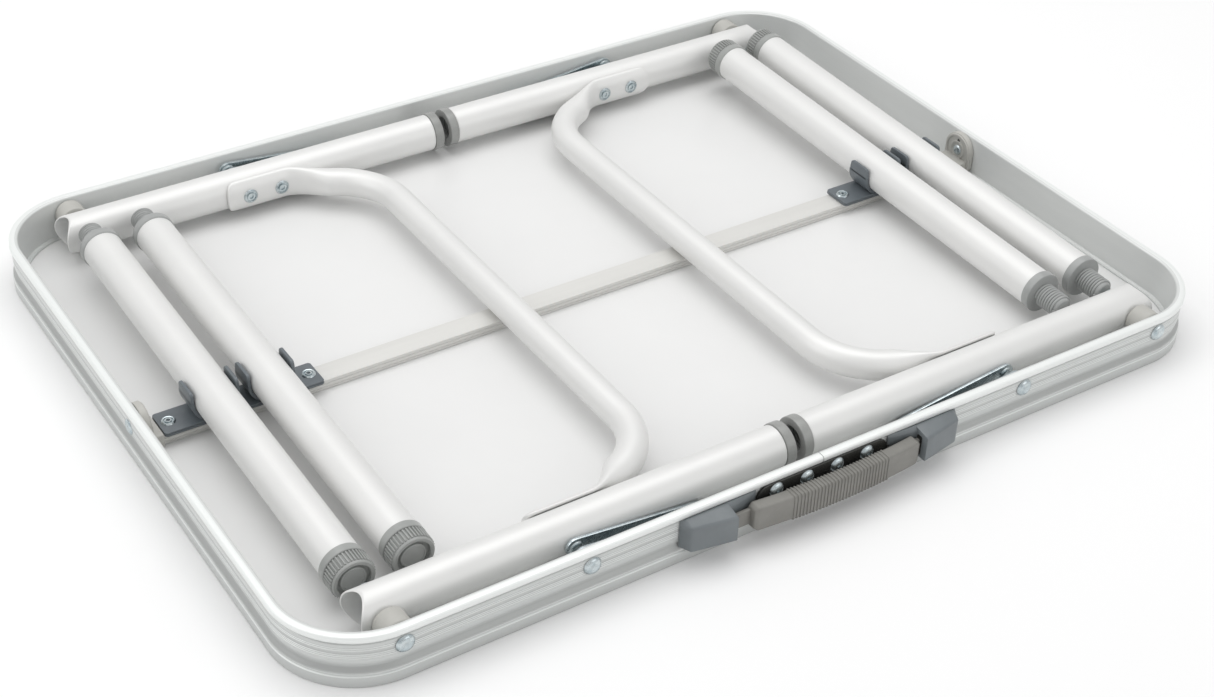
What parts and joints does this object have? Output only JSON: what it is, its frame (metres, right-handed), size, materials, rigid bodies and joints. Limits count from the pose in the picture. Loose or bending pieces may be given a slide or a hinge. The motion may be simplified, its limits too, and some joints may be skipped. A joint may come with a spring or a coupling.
{
  "type": "folding table",
  "caption": "Suitcase-style folding camp table, folded: a rimmed white tabletop holding fold-out leg frames with stays, screw-on extension legs in clips and a carrying handle.",
  "frame": {"origin": "centre of the tabletop's outer face, which is turned down in the folded table", "axes": "+X along the long side, +Y across the table away from the handle, +Z from the tabletop into the tray"},
  "size_m": [0.8016, 0.6191, 0.0578],
  "materials": {
    "laminate": "white laminate over a thin board",
    "rim_metal": "satin anodised extrusion",
    "white_tube": "white satin powder coat",
    "bar_metal": "satin anodised extrusion",
    "zinc": "zinc plated",
    "socket_plastic": "light grey moulding",
    "stud_plastic": "mid grey moulding",
    "foot_plastic": "warm grey moulding",
    "clip_plastic": "blue-grey moulding",
    "bracket_plastic": "grey moulding",
    "grip_plastic": "warm grey soft-touch moulding",
    "black_plastic": "black moulding",
    "spacer_plastic": "pale grey moulding"
  },
  "bodies": {
    "tray": {"tabletop_panel": "laminate", "rim": "rim_metal", "joint_plate": "black_plastic", "handle_bracket_left": "bracket_plastic", "handle_bracket_right": "bracket_plastic", "centre_bar": "bar_metal", "bar_bracket_left": "bracket_plastic", "bar_bracket_right": "bracket_plastic", "clip_strip_left": "clip_plastic", "clip_strip_right": "clip_plastic", "pivot_spacer_left_front": "spacer_plastic", "pivot_spacer_left_back": "spacer_plastic", "pivot_spacer_right_front": "spacer_plastic", "pivot_spacer_right_back": "spacer_plastic", "pivot_rivet_left_front": "zinc", "pivot_rivet_left_back": "zinc", "pivot_rivet_right_front": "zinc", "pivot_rivet_right_back": "zinc", "stay_rim_rivet_left_front": "zinc", "stay_rim_rivet_left_back": "zinc", "stay_rim_rivet_right_front": "zinc", "stay_rim_rivet_right_back": "zinc"},
    "grip": {"handle_grip": "grip_plastic"},
    "left_legs": {"cross_bar_left": "white_tube", "leg_tube_left_front": "white_tube", "leg_tube_left_back": "white_tube", "leg_socket_left_front": "socket_plastic", "leg_socket_left_back": "socket_plastic", "stay_leg_rivet_left_front": "zinc", "stay_leg_rivet_left_back": "zinc"},
    "rim_link_left_front": {"stay_rim_link_left_front": "zinc"},
    "leg_link_left_front": {"stay_leg_link_left_front": "zinc"},
    "rim_link_left_back": {"stay_rim_link_left_back": "zinc"},
    "leg_link_left_back": {"stay_leg_link_left_back": "zinc"},
    "stored_leg_left_inner": {"extension_tube_left_inner": "white_tube", "extension_stud_left_inner": "stud_plastic"},
    "foot_left_inner": {"extension_foot_left_inner": "foot_plastic"},
    "stored_leg_left_outer": {"extension_tube_left_outer": "white_tube", "extension_stud_left_outer": "stud_plastic"},
    "foot_left_outer": {"extension_foot_left_outer": "foot_plastic"},
    "right_legs": {"cross_bar_right": "white_tube", "leg_tube_right_front": "white_tube", "leg_tube_right_back": "white_tube", "leg_socket_right_front": "socket_plastic", "leg_socket_right_back": "socket_plastic", "stay_leg_rivet_right_front": "zinc", "stay_leg_rivet_right_back": "zinc"},
    "rim_link_right_front": {"stay_rim_link_right_front": "zinc"},
    "leg_link_right_front": {"stay_leg_link_right_front": "zinc"},
    "rim_link_right_back": {"stay_rim_link_right_back": "zinc"},
    "leg_link_right_back": {"stay_leg_link_right_back": "zinc"},
    "stored_leg_right_inner": {"extension_tube_right_inner": "white_tube", "extension_stud_right_inner": "stud_plastic"},
    "foot_right_inner": {"extension_foot_right_inner": "foot_plastic"},
    "stored_leg_right_outer": {"extension_tube_right_outer": "white_tube", "extension_stud_right_outer": "stud_plastic"},
    "foot_right_outer": {"extension_foot_right_outer": "foot_plastic"}
  },
  "joints": [
    {"name": "grip_play", "type": "slide", "parent": "tray", "child": "grip", "axis": [0, -1, 0], "range_m": [0, 0.002]},
    {"name": "left_legs_hinge", "type": "hinge", "parent": "tray", "child": "left_legs", "pos_m": [-0.334, 0, 0.0278], "axis": [0, -1, 0], "range_deg": [0, 90]},
    {"name": "rim_link_left_front_hinge", "type": "hinge", "parent": "tray", "child": "rim_link_left_front", "pos_m": [-0.193, -0.2875, 0.0278], "axis": [0, -1, 0], "range_deg": [0, 141.5]},
    {"name": "leg_link_left_front_hinge", "type": "hinge", "parent": "left_legs", "child": "leg_link_left_front", "pos_m": [-0.193, -0.2768, 0.0278], "axis": [0, -1, 0], "range_deg": [-128.5, 0]},
    {"name": "rim_link_left_back_hinge", "type": "hinge", "parent": "tray", "child": "rim_link_left_back", "pos_m": [-0.193, 0.2875, 0.0278], "axis": [0, -1, 0], "range_deg": [0, 141.5]},
    {"name": "leg_link_left_back_hinge", "type": "hinge", "parent": "left_legs", "child": "leg_link_left_back", "pos_m": [-0.193, 0.2768, 0.0278], "axis": [0, -1, 0], "range_deg": [-128.5, 0]},
    {"name": "stored_leg_left_inner_lift", "type": "slide", "parent": "tray", "child": "stored_leg_left_inner", "axis": [0, 0, 1], "range_m": [0, 0.045]},
    {"name": "foot_left_inner_turn", "type": "hinge", "parent": "stored_leg_left_inner", "child": "foot_left_inner", "pos_m": [-0.291, 0, 0.034], "axis": [0, -0.9997, -0.0227], "continuous": true},
    {"name": "stored_leg_left_outer_lift", "type": "slide", "parent": "tray", "child": "stored_leg_left_outer", "axis": [0, 0, 1], "range_m": [0, 0.045]},
    {"name": "foot_left_outer_turn", "type": "hinge", "parent": "stored_leg_left_outer", "child": "foot_left_outer", "pos_m": [-0.3356, 0, 0.034], "axis": [0, -0.9997, -0.0227], "continuous": true},
    {"name": "right_legs_hinge", "type": "hinge", "parent": "tray", "child": "right_legs", "pos_m": [0.334, 0, 0.0278], "axis": [0, 1, 0], "range_deg": [0, 90]},
    {"name": "rim_link_right_front_hinge", "type": "hinge", "parent": "tray", "child": "rim_link_right_front", "pos_m": [0.193, -0.2875, 0.0278], "axis": [0, 1, 0], "range_deg": [0, 141.5]},
    {"name": "leg_link_right_front_hinge", "type": "hinge", "parent": "right_legs", "child": "leg_link_right_front", "pos_m": [0.193, -0.2768, 0.0278], "axis": [0, 1, 0], "range_deg": [-128.5, 0]},
    {"name": "rim_link_right_back_hinge", "type": "hinge", "parent": "tray", "child": "rim_link_right_back", "pos_m": [0.193, 0.2875, 0.0278], "axis": [0, 1, 0], "range_deg": [0, 141.5]},
    {"name": "leg_link_right_back_hinge", "type": "hinge", "parent": "right_legs", "child": "leg_link_right_back", "pos_m": [0.193, 0.2768, 0.0278], "axis": [0, 1, 0], "range_deg": [-128.5, 0]},
    {"name": "stored_leg_right_inner_lift", "type": "slide", "parent": "tray", "child": "stored_leg_right_inner", "axis": [0, 0, 1], "range_m": [0, 0.045]},
    {"name": "foot_right_inner_turn", "type": "hinge", "parent": "stored_leg_right_inner", "child": "foot_right_inner", "pos_m": [0.291, 0, 0.034], "axis": [0, 0.9997, 0.0227], "continuous": true},
    {"name": "stored_leg_right_outer_lift", "type": "slide", "parent": "tray", "child": "stored_leg_right_outer", "axis": [0, 0, 1], "range_m": [0, 0.045]},
    {"name": "foot_right_outer_turn", "type": "hinge", "parent": "stored_leg_right_outer", "child": "foot_right_outer", "pos_m": [0.3356, 0, 0.034], "axis": [0, 0.9997, 0.0227], "continuous": true}
  ],
  "couplings": [
    {"joint": "rim_link_left_front_hinge", "follows": "left_legs_hinge", "ratio": 1.5722},
    {"joint": "leg_link_left_front_hinge", "follows": "left_legs_hinge", "ratio": -1.4278},
    {"joint": "rim_link_left_back_hinge", "follows": "left_legs_hinge", "ratio": 1.5722},
    {"joint": "leg_link_left_back_hinge", "follows": "left_legs_hinge", "ratio": -1.4278},
    {"joint": "rim_link_right_front_hinge", "follows": "right_legs_hinge", "ratio": 1.5722},
    {"joint": "leg_link_right_front_hinge", "follows": "right_legs_hinge", "ratio": -1.4278},
    {"joint": "rim_link_right_back_hinge", "follows": "right_legs_hinge", "ratio": 1.5722},
    {"joint": "leg_link_right_back_hinge", "follows": "right_legs_hinge", "ratio": -1.4278}
  ]
}
